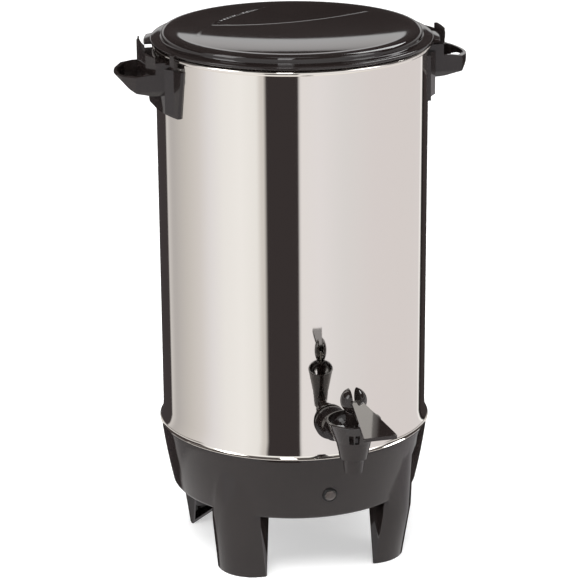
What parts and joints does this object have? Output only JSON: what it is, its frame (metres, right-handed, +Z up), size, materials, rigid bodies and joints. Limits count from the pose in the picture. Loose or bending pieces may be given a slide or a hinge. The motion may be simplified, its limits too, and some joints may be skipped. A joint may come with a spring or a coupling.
{
  "type": "coffee urn",
  "caption": "Electric percolating coffee urn: polished steel tank on a black legged base, with a lever tap, side handles and a flat black lid.",
  "frame": {"origin": "on the table under the middle of the tank, where its axis meets the plane of the four soles", "axes": "+Z up along the tank's axis, -Y towards the tap, handles at +X and -X"},
  "size_m": [0.28, 0.343, 0.4236],
  "materials": {
    "polished_steel": "mirror polished stainless steel",
    "black_plastic": "glossy, brown-black",
    "plain_steel": "plain",
    "aluminium": "satin",
    "silicone": "matt",
    "phenolic": "matt",
    "wire_sleeve": "matt",
    "clear_lens": "clear, glossy",
    "lamp_glass": "clear"
  },
  "bodies": {
    "urn": {"urn_body": "polished_steel", "base_housing": "black_plastic", "bottom_cover": "black_plastic", "cover_screws": "plain_steel", "base_nuts": "plain_steel", "brew_heater": "aluminium", "keep_warm_heater": "plain_steel", "thermostat": "phenolic", "thermal_fuse": "phenolic", "terminal_block": "phenolic", "wiring": "wire_sleeve", "power_inlet": "black_plastic", "pilot_bezel": "black_plastic", "pilot_lens": "clear_lens", "pilot_bulb": "lamp_glass", "handle_left": "black_plastic", "handle_right": "black_plastic", "handle_screws": "plain_steel", "tap_gasket": "silicone", "tap_flange": "black_plastic", "tap_nut": "black_plastic", "tap_body": "black_plastic", "tap_bonnet": "black_plastic", "tap_spring": "plain_steel"},
    "valve": {"tap_stem": "plain_steel", "seat_cup": "silicone"},
    "lever": {"tap_lever": "black_plastic", "lever_pin": "plain_steel"},
    "percolator": {"pump_stem": "aluminium", "pump_base": "aluminium", "coffee_basket": "aluminium", "basket_cover": "aluminium"},
    "lid": {"lid": "black_plastic"}
  },
  "joints": [
    {"name": "valve_lift", "type": "slide", "parent": "urn", "child": "valve", "axis": [0, 0, 1], "range_m": [0, 0.00284], "deforming": ["tap_spring"]},
    {"name": "lever_press", "type": "hinge", "parent": "valve", "child": "lever", "pos_m": [0, -0.1655, 0.172], "axis": [1, 0, 0], "range_deg": [0, 25], "stiffness_Nm_per_rad": 0.0085, "springref_deg": -26.36},
    {"name": "lid_lift", "type": "slide", "parent": "urn", "child": "lid", "axis": [0, 0, 1], "range_m": [0, 0.42]},
    {"name": "percolator_lift", "type": "slide", "parent": "urn", "child": "percolator", "axis": [0, 0, 1], "range_m": [0, 0.336]}
  ],
  "couplings": [
    {"joint": "valve_lift", "follows": "lever_press", "m_per_rad": 0.0065},
    {"joint": "percolator_lift", "follows": "lid_lift", "ratio": 0.8}
  ]
}
